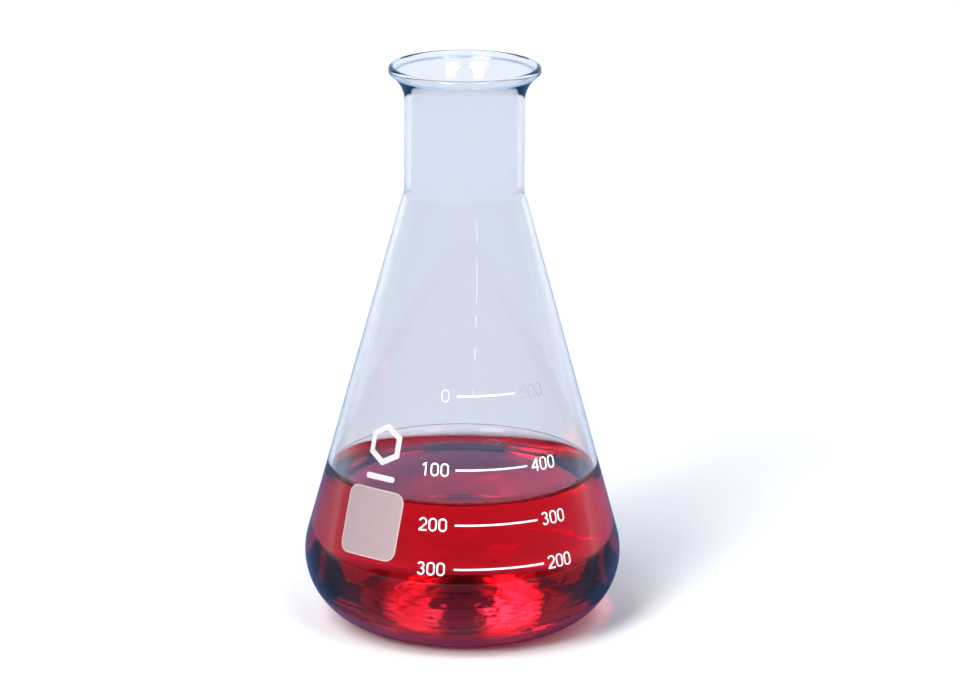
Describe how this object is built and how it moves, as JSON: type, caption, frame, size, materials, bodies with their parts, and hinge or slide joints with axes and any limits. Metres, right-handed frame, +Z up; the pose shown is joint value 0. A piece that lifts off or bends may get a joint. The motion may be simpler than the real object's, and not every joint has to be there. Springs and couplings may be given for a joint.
{
  "type": "erlenmeyer flask",
  "caption": "Conical laboratory flask of clear glass with a rolled lip, white graduations, a writing patch and red liquid inside.",
  "frame": {"origin": "centre of the foot, on the surface that the flask stands on", "axes": "+Z up along the flask's axis, -Y towards the graduated front"},
  "size_m": [0.104, 0.104, 0.187],
  "materials": {
    "clear_glass": "polished",
    "red_liquid": "polished",
    "patch_enamel": "matte",
    "white_enamel": "satin"
  },
  "bodies": {
    "root": {"vessel": "clear_glass", "liquid": "red_liquid", "marking_spot": "patch_enamel", "marking_spot_border": "white_enamel", "mark_500": "white_enamel", "mark_400": "white_enamel", "mark_300": "white_enamel", "mark_200": "white_enamel", "poured_0": "white_enamel", "poured_100": "white_enamel", "poured_200": "white_enamel", "poured_300": "white_enamel", "filled_500": "white_enamel", "filled_400": "white_enamel", "filled_300": "white_enamel", "filled_200": "white_enamel", "index_line": "white_enamel", "emblem_ring": "white_enamel", "emblem_bar": "white_enamel"}
  },
  "joints": []
}
